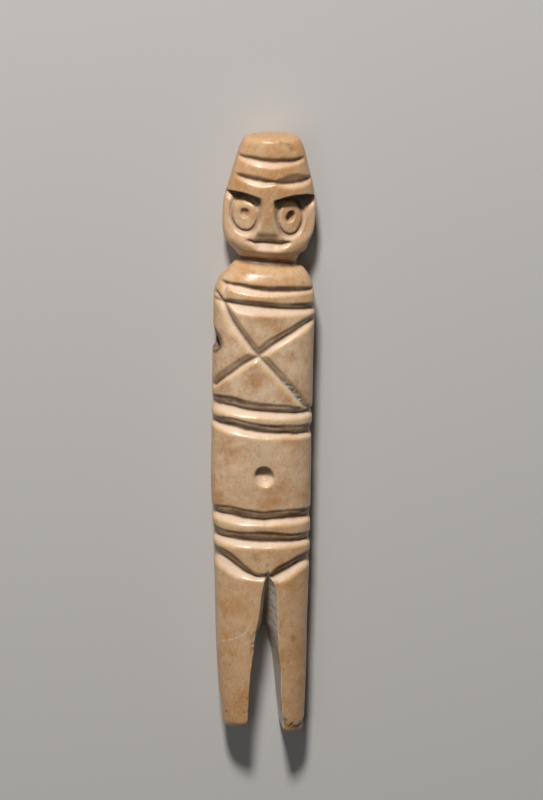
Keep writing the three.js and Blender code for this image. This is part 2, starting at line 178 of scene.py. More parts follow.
ALONG = np.repeat(rows_y[:, None], COLUMNS + 1, axis=1)
shrink = rows_shrink[:, None]
blank_x, blank_z = section(columns_angle, ALONG)
centre_x = flow(rows_y, SECTIONS[:, 0], (SECTIONS[:, 1] + SECTIONS[:, 2]) / 2)[:, None]
centre_z = flow(rows_y, SECTIONS[:, 0], SECTIONS[:, 5])[:, None]
blank_x = centre_x + (blank_x - centre_x) * shrink
blank_z = centre_z + (blank_z - centre_z) * shrink
slope = flow(rows_y, SECTIONS[:, 0], SECTIONS[:, 7])[:, None]
dome = np.where(ALONG > 0, CROWN_DOME, 0.0) * (1 - shrink ** 2)
blank_y = ALONG + dome - slope * blank_x


def facing(x, y, z):
    """The outward direction at every point of a grid that is closed round its columns."""
    points = np.stack([x, y, z], axis=-1)
    ring = points[:, :-1]
    round_way = np.roll(ring, -1, axis=1) - np.roll(ring, 1, axis=1)
    long_way = np.gradient(ring, axis=0)
    out = np.cross(long_way, round_way)
    size = np.linalg.norm(out, axis=-1, keepdims=True)
    out = out / np.maximum(size, 1e-9)
    return np.concatenate([out, out[:, :1]], axis=1)


outward = facing(blank_x, blank_y, blank_z)
front_row, front_column = len(rows_y) // 2, COLUMNS // 2
if outward[front_row, front_column, 2] < 0:
    outward = -outward
print("the chest faces", outward[front_row, front_column].round(2))

# %% [markdown]
# ## Uneven handwork
# Nothing here is turned or cast, so strokes wander and faces swell. A lattice of chance values
# with soft steps between them gives that, at any size in millimetres. The lattice is made from
# a fixed seed, so the carving comes out the same each time.

# %% A soft, repeatable unevenness
LATTICE = 97


def uneven(u, v, seed):
    """Chance values between -1 and 1, smooth over one unit of u and of v."""
    lattice = np.random.default_rng(seed).uniform(-1, 1, (LATTICE, LATTICE))
    i, j = np.floor(u).astype(int), np.floor(v).astype(int)
    f, g = u - i, v - j
    f, g = f * f * (3 - 2 * f), g * g * (3 - 2 * g)
    i, j, k, m = (n % LATTICE for n in (i, j, i + 1, j + 1))
    low_side = lattice[i, j] * (1 - f) + lattice[k, j] * f
    high_side = lattice[i, m] * (1 - f) + lattice[k, m] * f
    return low_side * (1 - g) + high_side * g


def rise_between(value, start, stop):
    """0 before start, 1 after stop, and soft between them."""
    t = np.clip((value - start) / (stop - start), 0, 1)
    return t * t * (3 - 2 * t)


print("soft steps:", rise_between(np.array([0.0, 0.25, 0.5, 1.0]), 0, 1).round(2))

# %% [markdown]
# ## Knife grooves
# Each band is a V cut with two long strokes: a steep wall on the head's side, where the blade
# was held, worked over with several parallel strokes, and a smooth rake on the feet's side,
# scooped out towards the viewer. Real cuts could be made with booleans, but a V this shallow is
# simply a depth below the blank, read from how far each point lies from the keel of the cut.
# Each groove below starts with its depth and with how far its ends run on past its last
# places. Every row is a measured place on the keel: x, y, the wall's width and the rake's.

# %% The knife grooves, in millimetres
BANDS = {
    "upper cap groove": (0.50, 0.6, [
        (-4.1, 42.15, 0.13, 0.28), (-2.5, 42.06, 0.39, 1.02), (-1, 41.87, 0.51, 1.08),
        (0.6, 41.79, 0.57, 1.13), (2.1, 41.78, 0.59, 0.96), (3.6, 41.81, 0.57, 0.64),
        (5.2, 42.15, 0.26, 0.37)]),
    "lower cap groove, left": (0.50, 0.6, [
        (-4.5, 39.3, 0.26, 0.1), (-3.1, 39.13, 0.62, 0.72), (-1.6, 38.96, 0.62, 1.04),
        (-0.2, 38.81, 0.51, 0.82), (1.3, 38.81, 0.22, 0.11)]),
    "lower cap groove, right": (0.58, 1.0, [
        (0.8, 38.73, 0.23, 0.09), (2.2, 38.66, 1.0, 0.57), (3.6, 38.71, 1.48, 0.79),
        (5, 38.85, 1.19, 0.77), (6.4, 39.07, 0.26, 0.36)]),
    "mouth": (0.66, 0.5, [
        (-2.8, 29.56, 0.21, 0.3), (-1.2, 29.38, 0.52, 1.33), (0.4, 29.34, 0.78, 1.54),
        (1.9, 29.35, 0.73, 1.1), (3.5, 29.6, 0.22, 0.33)]),
    "collar, upper": (0.52, 1.2, [
        (-6, 22.92, 0.15, 0.42), (-3.8, 22.88, 0.41, 1.24), (-1.7, 22.66, 0.63, 1.11),
        (0.5, 22.59, 0.77, 0.95), (2.7, 22.68, 0.75, 0.78), (4.8, 22.82, 0.64, 0.6),
        (7, 22.89, 0.21, 0.44)]),
    "collar, lower": (0.70, 3.0, [
        (-6.5, 20.08, 0.52, 0.38), (-4.2, 20.09, 0.75, 1.44), (-1.9, 20.11, 0.83, 1.59),
        (0.4, 20.03, 0.94, 1.38), (2.7, 20.04, 0.91, 1.21), (5, 20.11, 0.96, 0.99),
        (7.3, 20.09, 0.83, 0.57)]),
    "waist, upper": (0.76, 3.6, [
        (-7.3, 4.43, 1.34, 1.19), (-4.9, 4.6, 1.64, 1.47), (-2.5, 4.36, 1.51, 1.25),
        (-0.1, 4.29, 1.39, 1.08), (2.3, 4.31, 1.33, 1.1), (4.7, 4.39, 1.1, 0.94),
        (7.1, 4.54, 0.56, 0.75)]),
    "waist, lower": (0.76, 3.6, [
        (-7.3, 1.62, 0.97, 0.63), (-4.9, 1.63, 1.34, 1.22), (-2.5, 1.29, 1.42, 1.04),
        (-0.1, 1.16, 1.43, 1.03), (2.3, 1.19, 1.44, 0.79), (4.7, 1.23, 1.44, 0.66),
        (7.1, 1.32, 1.33, 0.59)]),
    "hips, upper": (0.76, 3.6, [
        (-7, -11.94, 1.01, 1.04), (-4.7, -11.91, 1.45, 1.39), (-2.3, -12.13, 1.47, 1.12),
        (0, -12.08, 1.39, 0.96), (2.3, -11.84, 1.44, 1.02), (4.6, -11.54, 1.43, 1.02),
        (7, -11.4, 1.28, 0.74)]),
    "hips, lower": (0.76, 3.6, [
        (-6.9, -15.47, 1.51, 0.86), (-4.6, -15.44, 1.28, 1.32), (-2.3, -15.54, 1.49, 1.1),
        (0, -15.47, 1.73, 1.04), (2.3, -15.32, 1.53, 0.96), (4.7, -15.12, 1.28, 0.79),
        (7, -14.91, 1.18, 0.68)]),
    "groin, left": (0.82, 3.0, [
        (-6.7, -18.21, 1.2, 1.72), (-5.3, -18.76, 1.44, 1.92), (-3.8, -19.57, 1.34, 1.6),
        (-2.3, -20.33, 0.97, 0.99), (-0.8, -20.78, 0.37, 0.61)]),
    "groin, right": (0.82, 3.0, [
        (1.4, -20.79, 0.7, 0.28), (2.8, -20.04, 1.16, 1.31), (4.2, -19.28, 1.15, 1.4),
        (5.6, -18.48, 1.11, 1.2), (6.9, -17.77, 1.03, 1.08)]),
    "cross, falling": (0.66, 1.4, [
        (-7.11, 21.02, 0.5, 0.5), (-6.02, 19.63, 0.75, 1.0), (-4.94, 17.62, 0.83, 1.07),
        (-3.28, 15.43, 0.83, 1.07), (-1.43, 13.28, 0.83, 1.0), (0.44, 11.45, 0.83, 0.9),
        (2.71, 9.13, 0.85, 0.85), (5.01, 6.78, 0.8, 0.85), (6.51, 5.1, 0.5, 0.6)]),
    "cross, rising": (0.66, 1.6, [
        (-7.26, 7.15, 0.9, 0.5), (-5.34, 9.37, 1.0, 0.57), (-2.86, 11.49, 1.0, 0.57),
        (-0.96, 12.74, 1.0, 0.7), (0.76, 14.31, 1.0, 0.9), (3.7, 16.26, 1.0, 0.9),
        (5.97, 17.72, 0.9, 0.9), (6.96, 18.3, 0.7, 0.7)]),
    "neck crease": (0.42, 9.0, [
        (-3.6, 26.2, 0.6, 0.5), (0.4, 26.1, 0.8, 0.5), (4.4, 26.0, 0.6, 0.5)]),
}
print("grooves:", len(BANDS), "measured places:", sum(len(band[2]) for band in BANDS.values()))

# %% [markdown]
# ## Cutting the grooves
# For each groove the distance to its keel is split into a wall share and a rake share. The
# deepest cut wins where grooves cross, as it does in bone. Three more values are kept for the
# finish: where the rough walls are, which are later painted with shade, how much darker the
# keel, the lip and the strokes are painted, and where the scooped rakes are, which are paler.

# %% Find a place along the surface
EDGE_MARGIN = 0.02


def tape_at(x, y):
    """How far a point of the front lies from the middle, along the surface."""
    i = int(np.argmin(np.abs(rows_y - y)))
    front = np.abs(columns_angle[i]) < math.pi / 2 - EDGE_MARGIN
    return float(np.interp(x, blank_x[i][front], tape[i][front]))


mouth_end = BANDS["mouth"][2][-1][:2]
print("end of the mouth from the middle, mm:", round(tape_at(*mouth_end), 2))

# %% Lay a groove out along its keel
SHAKE, SHAKE_LENGTH = 0.05, 1.7
END_FADE = 0.4
NARROW_WALL, WIDE_WALL = 0.5, 0.9


def laid_out(number, wrap, keel_points):
    """How far each point is off the keel, in mm and as a share of wall and rake, how far
    the wall is wide enough to be worked over, and how far the groove has faded in."""
    x, keel, wall, rake = np.array(keel_points, float).T
    along = np.array([tape_at(a, b) for a, b in zip(x, keel)])
    line = flow(tape, along, keel)
    lean = (flow(tape + 0.1, along, keel) - flow(tape - 0.1, along, keel)) / 0.2
    shake = SHAKE * uneven(tape / SHAKE_LENGTH, np.full_like(tape, number + 0.5), 21)
    off = (ALONG - line + shake) / np.hypot(1, lean)
    wall_width = flow(tape, along, wall)
    wall_share = np.clip(off / wall_width, 0, 1)
    rake_share = np.clip(-off / flow(tape, along, rake), 0, 1)
    worked = rise_between(wall_width, NARROW_WALL, WIDE_WALL)
    start, stop, fade = along[0] - wrap, along[-1] + wrap, END_FADE + wrap
    ends = rise_between(tape, start, start + fade) * rise_between(-tape, -stop, fade - stop)
    return off, wall_share, rake_share, worked, ends


print("walls from, to mm wide are worked over:", NARROW_WALL, WIDE_WALL)

# %% The wall's profile, its strokes and its darkening
KEEL_STEP, WALL_FALL, LIP_STEP = 0.52, 0.16, 0.32
STROKE_GAP, STROKE_DEPTH = 0.27, 0.13


def wall_profile(wall_share, worked, top_step):
    """How deep a wall is: a narrow one is one slope, a wide one is steep at keel and lip."""
    stepped = 1 - KEEL_STEP * rise_between(wall_share, -0.1, 0.42) - WALL_FALL * wall_share
    stepped = stepped - LIP_STEP * rise_between(wall_share, top_step, 0.97)
    return (1 - wall_share) * (1 - worked) + stepped * worked


def knife_strokes(off, number):
    """Long strokes that run along the wall and sway a little, between -1 and 1."""
    sway = 0.6 * uneven(tape / 2.1, off, 30)
    return uneven(tape / 2.8 + off * 0.5, off / STROKE_GAP * 2 + sway, 31 + number)


def darken_wall(off, wall_share, worked, in_strokes, bite, wall_darkness):
    """Darker in the keel, under the lip and in the deeper strokes, and low on finely cut walls."""
    upper_lip = rise_between(wall_share, 0.7, 0.86) * (wall_share < 0.98) * worked
    upper_lip = upper_lip * rise_between(uneven(tape / 1.9, off / 0.4, 35), -0.9, 0.3)
    darkening = (1.6 - 0.6 * wall_darkness) * rise_between(-np.abs(off - 0.04), -0.24, -0.04)
    darkening = darkening + (1.2 - 0.7 * wall_darkness) * bite * upper_lip
    darkening = darkening + bite * wall_darkness * in_strokes
    darkening = darkening + 0.5 * (1 - bite) * (1 - wall_share) * worked
    return np.clip(darkening, 0, 1)


print("strokes, mm apart and deep:", STROKE_GAP, STROKE_DEPTH)

# %% Cut every groove
RAKE_HOLLOW = 1.3
HEAD_FROM = 28.0
# On the head the knife was used more finely, and the cross's walls are painted less dark.
HEAD_STROKES = 0.25
TOP_STEP, HEAD_TOP_STEP = 0.74, 0.4
WALL_DARKNESS = {"cross, falling": 0.35, "cross, rising": 0.35}

deep, walls, rakes, groove_darkening = (np.zeros_like(tape) for _ in range(4))
for number, (name, (depth, wrap, keel_points)) in enumerate(BANDS.items()):
    on_the_head = np.mean([place[1] for place in keel_points]) > HEAD_FROM
    bite = HEAD_STROKES if on_the_head else 1.0
    top_step = HEAD_TOP_STEP if on_the_head else TOP_STEP
    wall_darkness = WALL_DARKNESS.get(name, 1.0)

    off, wall_share, rake_share, worked, ends = laid_out(number, wrap, keel_points)
    side = np.where(off > 0, wall_profile(wall_share, worked, top_step),
                    1 - rake_share ** RAKE_HOLLOW)
    strokes = knife_strokes(off, number)
    inside_wall = rise_between(wall_share, 0.02, 0.2)
    inside_wall = inside_wall * rise_between(-wall_share, -1.0, -0.85) * (off > 0)
    cut = depth * ends * side + STROKE_DEPTH * bite * strokes * inside_wall * ends * worked

    in_strokes = rise_between(strokes, -0.2, 0.4) * inside_wall
    darkening = darken_wall(off, wall_share, worked, in_strokes, bite, wall_darkness)
    on_wall = (off > -0.1) * rise_between(-wall_share, -1, -0.9)
    on_rake = (off <= 0) * rise_between(-rake_share, -1, -0.6)
    here = cut > deep
    walls = np.where(here, wall_darkness * ends * on_wall, walls)
    groove_darkening = np.where(here, ends * (off > -0.1) * darkening, groove_darkening)
    if name != "neck crease":
        rakes = np.where(here, ends * on_rake, rakes)
    deep = np.maximum(deep, cut)
print("deepest groove, mm:", deep.max().round(2))

# %% [markdown]
# ## The face
# Two flat fields are pared down beside the nose, and the brow, the nose and its underside are
# what is left standing. A field could be cut with a boolean, but its edges run into the round
# head softly, so each field is a sloping plane that the surface may not rise above, inside the
# brow line and the nose line.

# %% Eye fields, brow and nose
BROW_LEFT = [(-6.6, 36.9), (-5.5, 36.78), (-4.2, 36.84), (-3.1, 36.71), (-1.96, 36.43),
             (-0.83, 36.11), (-0.25, 35.9)]
BROW_RIGHT = [(0.81, 35.96), (1.79, 36.24), (2.77, 36.55), (4.11, 36.8), (5.47, 36.85),
              (6.92, 36.57), (7.4, 36.5)]
NOSE_LEFT = [(30.3, -2.0), (31.03, -1.51), (32.0, -1.21), (33.1, -0.78), (34.1, -0.7),
             (35.15, -0.78), (36.15, -0.95), (37.0, -1.0)]
NOSE_RIGHT = [(30.3, 2.1), (31.2, 1.67), (31.7, 1.5), (32.87, 1.13), (33.9, 0.94),
              (35.26, 0.91), (36.3, 0.97), (37.0, 1.0)]
# How far the recess and its painted shadow reach below each brow: x, and the reach there.
RECESS_LEFT = [(-5.8, 0.3), (-5.3, 0.6), (-4.7, 1.35), (-4.2, 1.5), (-3.2, 0.95),
               (-2.2, 1.0), (-1.0, 1.35), (-0.6, 0.4)]
RECESS_RIGHT = [(1.0, 0.7), (1.5, 0.9), (2.6, 1.0), (3.9, 1.3), (4.9, 2.6), (5.4, 3.0),
                (5.9, 2.3), (6.4, 1.6), (6.9, 0.7)]
FIELDS = [
    # brow line, nose line, reach of the recess, side, height at the nose, x there, slope outwards
    (BROW_LEFT, NOSE_LEFT, RECESS_LEFT, -1, 6.75, -1.1, 0.40),
    (BROW_RIGHT, NOSE_RIGHT, RECESS_RIGHT, 1, 6.72, 1.25, 0.36),
]
print("height of the fields beside the nose, mm:", [field[4] for field in FIELDS])

# %% Pare down the fields
FRONT_ANGLE = math.radians(96)
CHEEK_FROM, CHEEK_TO = 28.6, 31.2
CHIN_RISE = 0.035
BROW_STEP, BROW_RECESS = 0.18, 0.85
NOSE_STEP, UNDER_NOSE = 0.35, 0.42

sunk, shade, pared = (np.zeros_like(tape) for _ in range(3))
front_side = np.abs(columns_angle) < FRONT_ANGLE
for brow, nose, recess_line, way, height, nose_x, fall in FIELDS:
    brow_line = flow(blank_x, [p[0] for p in brow], [p[1] for p in brow])
    nose_line = flow(ALONG, [p[0] for p in nose], [p[1] for p in nose])
    reach = flow(blank_x, [p[0] for p in recess_line], [p[1] for p in recess_line])
    beside = way * (blank_x - nose_x)
    plane = height - (fall + CHIN_RISE * (ALONG - CHEEK_TO) / 3) * beside
    inside = rise_between(brow_line - ALONG, 0.0, BROW_STEP)
    inside = inside * rise_between(way * (blank_x - nose_line), 0.0, NOSE_STEP)
    inside = inside * rise_between(ALONG, CHEEK_FROM, CHEEK_TO) * front_side
    recess = BROW_RECESS * rise_between(ALONG - brow_line, -1.1 - reach, -0.4)
    # Painted shadow under the brow, darkening the top of the field as far as the reach.
    dark = rise_between(ALONG - brow_line, -1.2 * reach, -0.75 * reach)
    sunk = np.maximum(sunk, inside * (np.maximum(0, blank_z - plane) + recess))
    pared = np.maximum(pared, inside)
    shade = np.maximum(shade, inside * dark)
under_nose = rise_between(-ALONG, -31.25, -30.1) * rise_between(ALONG, 28.1, 29.7)
under_nose = under_nose * rise_between(-np.abs(blank_x - 0.1), -2.3, -1.0) * front_side
sunk = np.maximum(sunk, UNDER_NOSE * under_nose)
print("deepest part of a field, mm:", sunk.max().round(2))

# %% [markdown]
# ## The ring and dot eyes
# Each eye is a disc left standing in a groove, turned with a forked tool, with a pit in its
# middle. The left pit is shallow and flat, the right one deep, and both discs came out a little
# oval. The same idea of a depth works here, with the distance from the eye's middle.

# %% Rings and pits
EYES = [
    # x, y, disc half width, disc half height, pit x, pit y, pit half width, pit half height,
    # lean of the pit, pit depth
    (-3.22, 33.4, 1.70, 2.29, -3.18, 33.58, 0.60, 0.66, 0.0, 0.65),
    (3.49, 33.32, 1.69, 2.40, 3.47, 33.4, 0.52, 0.88, 0.45, 1.1),
]
RING_DEPTH = 0.62
# Shares of the disc's size: the ring's floor, its outer edge, and the end of the whole eye.
RING_FLOOR, RING_OUT, EYE_END = 1.08, 1.37, 1.5
DEEP_PIT = 1.0

ring_cut, turned, ring_shade = (np.zeros_like(tape) for _ in range(3))
for x, y, wide, tall, pit_x, pit_y, pit_wide, pit_tall, lean, pit_depth in EYES:
    across, up = blank_x - x, ALONG - y
    away = np.hypot(across / wide, up / tall) + 0.012 * uneven(across * 1.3, up * 1.3, 41)
    turned = np.maximum(turned, rise_between(-away, -1.65, -1.45) * front_side)
    outer = np.clip((away - RING_FLOOR) / (RING_OUT - RING_FLOOR), 0, 1)
    ring = rise_between(away, 0.99, 1.06) * (1 - outer ** RAKE_HOLLOW)
    rakes = np.maximum(rakes, rise_between(away, 1.06, 1.12) * (outer < 1) * front_side)
    # Painted shade along the lower half of each disc's edge, where its wall faces away from the
    # light.
    ring_shade_line = rise_between(-np.abs(away - 1.05), -0.07, -0.03)
    ring_shade_line = ring_shade_line * rise_between(-up / tall, -0.3, 0.5)
    ring_shade = np.maximum(ring_shade, ring_shade_line * front_side)

    across, up = blank_x - pit_x, ALONG - pit_y
    level_way = across * math.cos(lean) - up * math.sin(lean)
    long_way = across * math.sin(lean) + up * math.cos(lean)
    pit = rise_between(-np.hypot(level_way / pit_wide, long_way / pit_tall), -1.0, -0.85)
    grit = 0.03 * uneven(across / 0.2, up / 0.2, 43)
    cut = (RING_DEPTH * ring + (pit_depth + grit) * pit) * front_side * (away < EYE_END)
    # Painted shade: the deep pit is darkened on its left half, the shallow one only at its upper
    # edge.
    shaded_side = level_way < 0.12 if pit_depth > DEEP_PIT else 0.3 * across + up > 0.32
    ring_shade = np.maximum(ring_shade, pit * shaded_side)
    ring_cut = np.maximum(ring_cut, cut)
print("deepest pit, mm:", ring_cut.max().round(2))

# %% [markdown]
# ## The navel, scratches and chips
# The navel is a cone made with a pointed drill, which left fine rings in it. The rest is wear:
# a long curved scratch on the left leg, a few pits and stains, a crumbled stretch where two
# grooves meet near the right edge, a dented left edge, and chips on the crown and the soles.

# %% Navel
NAVEL = (0.13, -5.5, 1.45, 1.58)  # x, y, half width, half height
NAVEL_WALL, NAVEL_CONE = 0.55, 0.7
DRILL_RINGS, RINGS_ROUND = 0.05, 24

across, up = (blank_x - NAVEL[0]) / NAVEL[2], (ALONG - NAVEL[1]) / NAVEL[3]
away = np.hypot(across, up)
drilled = NAVEL_WALL * rise_between(-away, -1.0, -0.84) + NAVEL_CONE * np.clip(0.92 - away, 0, 1)
drilled = drilled * front_side
drill_rings = DRILL_RINGS * np.sin(away * RINGS_ROUND) * rise_between(-away, -0.95, -0.8)
drilled = drilled + drill_rings * front_side
navel_zone = rise_between(-away, -1.04, -0.94) * front_side
# Painted shadow in the upper half of the navel, where its wall faces away from the light.
navel_shadow = navel_zone * rise_between(up, -0.08, 0.1)
print("depth of the navel, mm:", drilled.max().round(2))

# %% Scratches, chips and crumbled bone
SCRATCH = [(-5.43, -31.41), (-3.95, -30.75), (-2.93, -30.06), (-2.12, -29.4), (-1.52, -28.13),
           (-1.03, -26.65)]
# Small pits and stains: x, y and size.
PITS = [(-1.49, -29.87, 0.14), (-1.3, -31.05, 0.16), (-1.71, -39.61, 0.22),
        (-4.65, -42.85, 0.25), (-2.16, -42.4, 0.22), (4.05, -42.76, 0.3), (4.96, -43.4, 0.35)]
STAINS = [(-0.85, -17.9, 0.7), (4.9, -30.0, 0.8), (3.6, -43.2, 0.8), (-1.3, -30.1, 0.7)]
FAR = 9.0


def near_line(points, width):
    """1 on a line through the points of the front, falling to 0 at the width."""
    best = np.full_like(tape, FAR)
    points = np.array(points, float)
    for a, b in zip(points[:-1], points[1:]):
        reach = b - a
        t = ((blank_x - a[0]) * reach[0] + (ALONG - a[1]) * reach[1]) / (reach @ reach)
        t = np.clip(t, 0, 1)
        away = np.hypot(blank_x - a[0] - t * reach[0], ALONG - a[1] - t * reach[1])
        best = np.minimum(best, away)
    return rise_between(-best, -width, 0) * front_side


def most(*grids):
    """The largest of several grids, point by point."""
    return np.maximum.reduce(grids)


scratch = near_line(SCRATCH, 0.2) * (0.7 + 0.3 * uneven(ALONG / 0.5, blank_x / 0.5, 52))
scratch = scratch * rise_between(-ALONG, 26.4, 29.5)
facet = near_line([(-6.05, 22.7), (-6.1, 20.9)], 0.5)
edge_chip = near_line([(-0.9, -29.4), (-1.1, -31.0), (-1.25, -34.0)], 0.35)
crease = near_line([(0.9, -19.0), (0.85, -20.6)], 0.5)
crown_chip = near_line([(2.0, 44.3), (3.1, 43.9), (3.7, 43.3)], 0.6)
sole_chip = near_line([(3.4, -42.9), (4.4, -43.9), (5.7, -44.2), (6.6, -43.6)], 0.6)
crumble = near_line([(3.0, 9.0), (4.3, 7.8), (6.0, 5.9)], 0.55)
ragged_zone = most(crumble, sole_chip, edge_chip, 0.3 * crown_chip)
crumbs = np.abs(uneven(blank_x / 0.26, ALONG / 0.26, 51)) * 0.34 * ragged_zone
print("crumbled bone, mm:", crumbs.max().round(2))

# %% Pits, stains and the thinned left edge
# The hole at the left edge is cut later on, but the shade painted round its rim is laid here.
HOLE_Y, HOLE_Z, HOLE_R = 14.05, 4.9, 1.15
RIM_Y, LEFT_OF = 13.9, -4.0
EDGE_DENT = 0.5

hole_rim = rise_between(-np.hypot(ALONG - RIM_Y, blank_z - HOLE_Z), -2.1, -1.5)
hole_rim = hole_rim * (blank_x < LEFT_OF)
nicks, stains = np.zeros_like(tape), np.zeros_like(tape)
for x, y, size in PITS:
    nick = 0.6 * size * rise_between(-np.hypot(blank_x - x, ALONG - y), -size, 0)
    nicks = np.maximum(nicks, nick)
nicks = nicks * front_side
for x, y, size in STAINS:
    ragged = 0.6 * uneven(blank_x / 0.35, ALONG / 0.35, 53)
    spot = rise_between(-np.hypot(blank_x - x, ALONG - y) / size + ragged, -1, -0.1)
    stains = np.maximum(stains, spot * front_side)
from_edge = np.abs(columns_angle + math.radians(95))
left_edge = rise_between(-from_edge, -math.radians(52), -math.radians(15))
dent = EDGE_DENT * left_edge * rise_between(ALONG, 12.2, 13.2) * rise_between(-ALONG, -16.3, -13.8)
print("nicks and dent, mm:", nicks.max().round(2), dent.max().round(2))

# %% [markdown]
# ## Putting the depths together
# Long handling has rounded every lip, so the grid of depths is softened a little before it is
# taken off the blank. The knife also left broad, barely visible facets, which break up the
# highlights of the polish.

# %% Take everything off the blank
def softened(grid, times):
    """The grid with each value drawn towards its neighbours."""
    for _ in range(times):
        ring = grid[:, :-1]
        ring = 0.5 * ring + 0.25 * (np.roll(ring, 1, axis=1) + np.roll(ring, -1, axis=1))
        grid = np.concatenate([ring, ring[:, :1]], axis=1)
        padded = np.pad(grid, ((1, 1), (0, 0)), mode="edge")
        grid = 0.5 * grid + 0.25 * (padded[:-2] + padded[2:])
    return grid


facets = 0.05 * uneven(tape / 2.6, ALONG / 5.5, 61) + 0.02 * uneven(tape / 1.1, ALONG / 2.4, 62)
back_seam = rise_between(math.pi - np.abs(columns_angle), 0, 0.4)
facets = facets * shrink ** 2 * back_seam
# The factors of the grids that run from 0 to 1 are depths in millimetres.
off_surface = softened(deep, 2) + crumbs + nicks + 0.04 * scratch + drilled + facets + dent
off_surface = off_surface + 0.3 * facet + 0.1 * sole_chip + 0.12 * crown_chip + 0.15 * crease
drop = softened(sunk, 1) + softened(ring_cut, 1)
skin_x = blank_x - outward[..., 0] * off_surface
skin_y = blank_y - outward[..., 1] * off_surface
skin_z = blank_z - outward[..., 2] * off_surface - drop * np.abs(outward[..., 2]) ** 0.3
print("most taken off, mm:", (off_surface + drop).max().round(2))

# %% [markdown]
# ## Soles and back
# The left foot ends higher than the right, and each foot's inner corner is worn away, so the
# last few millimetres of the legs are drawn up towards their own lines. The back is rubbed flat
# on a stone along its middle, which is what the figure lies on.

# %% Draw up the soles and flatten the back
SOLES = [(-5.3, -43.3), (-4.9, -43.95), (-4.4, -44.15), (-3.4, -44.1), (-2.1, -44.0),
         (-1.65, -43.7), (-1.1, -42.9), (2.9, -42.4), (3.11, -43.2), (3.47, -44.3), (4.4, -45.0),
         (6.45, -45.0), (6.86, -44.5)]
FLAT = 0.05
sole = flow(skin_x, [p[0] for p in SOLES], [p[1] for p in SOLES])
skin_y = skin_y + (sole + HALF_LENGTH) * rise_between(-ALONG, 39.5, 44.6)
skin_z = 0.5 * (skin_z + np.sqrt(skin_z ** 2 + FLAT ** 2)) - FLAT / 2
for grid in (skin_x, skin_y, skin_z):
    for end in (0, -1):
        grid[end] = grid[end].mean()
print("skin, mm:", [round(float(v), 2) for v in (skin_x.min(), skin_x.max(), skin_y.min(),
                                                 skin_y.max(), skin_z.min(), skin_z.max())])

# %% [markdown]
# ## From grid to skin
# A flat grid of faces is made with one operator, and each of its points is then moved to its
# place round the figure, as a sheet is rolled into a tube. The two edges of the sheet meet at
# the back, the end rows close over the crown and the soles, and merging the doubles turns the
# sheet into one closed skin.

# %% Roll a sheet into a closed skin
def rolled(name, x, y, z, kept_values):
    """A closed mesh from grids of coordinates, in millimetres, and values kept on its points."""
    rows, columns = x.shape
    for grid in (x, y, z):
        grid[:, -1] = grid[:, 0]
    bm = bmesh.new()
    bmesh.ops.create_grid(bm, x_segments=columns - 1, y_segments=rows - 1, size=0.5)
    sheet = bpy.data.meshes.new(name)
    bm.to_mesh(sheet)
    bm.free()
    flat = np.empty(len(sheet.vertices) * 3)
    sheet.vertices.foreach_get("co", flat)
    flat = flat.reshape(-1, 3)
    i = np.rint((flat[:, 1] + 0.5) * (rows - 1)).astype(int)
    j = np.rint((flat[:, 0] + 0.5) * (columns - 1)).astype(int)
    moved = np.stack([x[i, j], y[i, j], z[i, j]], axis=-1) * MM
    sheet.vertices.foreach_set("co", moved.ravel())
    for key, grid in kept_values.items():
        stored = sheet.attributes.new(key, "FLOAT", "POINT")
        stored.data.foreach_set("value", grid[i, j].astype(np.float32))
    bm = bmesh.new()
    bm.from_mesh(sheet)
    bmesh.ops.remove_doubles(bm, verts=bm.verts, dist=1e-7)
    bmesh.ops.recalc_face_normals(bm, faces=bm.faces)
    loose = [e for e in bm.edges if not e.is_manifold]
    print(name, "faces", len(bm.faces), "open edges", len(loose))
    bm.to_mesh(sheet)
    bm.free()
    return sheet


print("the sheet has rows and columns:", skin_x.shape)

# %% [markdown]
# ## What the finish needs to know
# Lips wear pale, and hollows are painted darker. Such a map could be painted by hand, but the
# depths already tell it: a point above the level of its neighbours is worn, one below it is
# darker. Shade is painted in too: on the groove walls, under the brows and the nose, round the
# eyes, in the navel and in the hole. The values are kept on the points of the skin, and the
# material reads them.

# %% Old dirt and painted shade
# The factors say how dark each place is painted, 1 being the darkest.
level = softened(off_surface + drop, 10)
# Painted shade on the groove walls and in the navel; darker keels, lips, strokes and hollows.
dirt_and_shade = 0.36 * walls + 0.62 * groove_darkening + 0.5 * rise_between(off_surface + drop - level, 0.05, 0.16)
dirt_and_shade = dirt_and_shade * (1 - navel_zone) + 0.75 * navel_shadow
crown_top = 0.1 * rise_between(1 - shrink, 0.0, 0.2) * (ALONG > 0)
dirt_and_shade = most(dirt_and_shade, 0.42 * stains, np.clip(crumbs / 0.2, 0, 0.6), 0.6 * sole_chip,
            0.16 * crown_chip, crown_top)
# Darker along the ledge of the dented left edge.
ledge = left_edge * rise_between(-np.abs(ALONG - 12.8), -0.9, -0.3)
# Painted shadow under the brows, on the eyes' lower edges and pits, in the hole and under the nose.
dirt_and_shade = most(softened(dirt_and_shade, 1), 0.95 * shade, 0.8 * ledge, 0.95 * ring_shade, 0.12 * crease,
            0.85 * hole_rim, 0.3 * under_nose, np.clip(nicks / 0.1, 0, 0.9))
print("darkened share of the skin:", (dirt_and_shade > 0.5).mean().round(3))

# %% Worn lips, fresh cuts and scratches
on_head = rise_between(ALONG, 25.0, 27.0)
face = rise_between(ALONG, 29.8, 31.0) * rise_between(-ALONG, -37.2, -36.4)
worn = rise_between(level - off_surface - drop, 0.01, 0.09)
for spared in (turned, navel_zone, 0.6 * on_head, 0.9 * face):
    worn = worn * (1 - spared)
cuts = most(rakes * (1 - 0.35 * on_head), facet, 0.8 * navel_zone)
cuts = np.maximum(softened(cuts, 1), 0.35 * pared * (1 - turned))
pale = np.maximum(scratch, 0.7 * crumble)
print("worn share of the skin:", (worn > 0.5).mean().round(3))

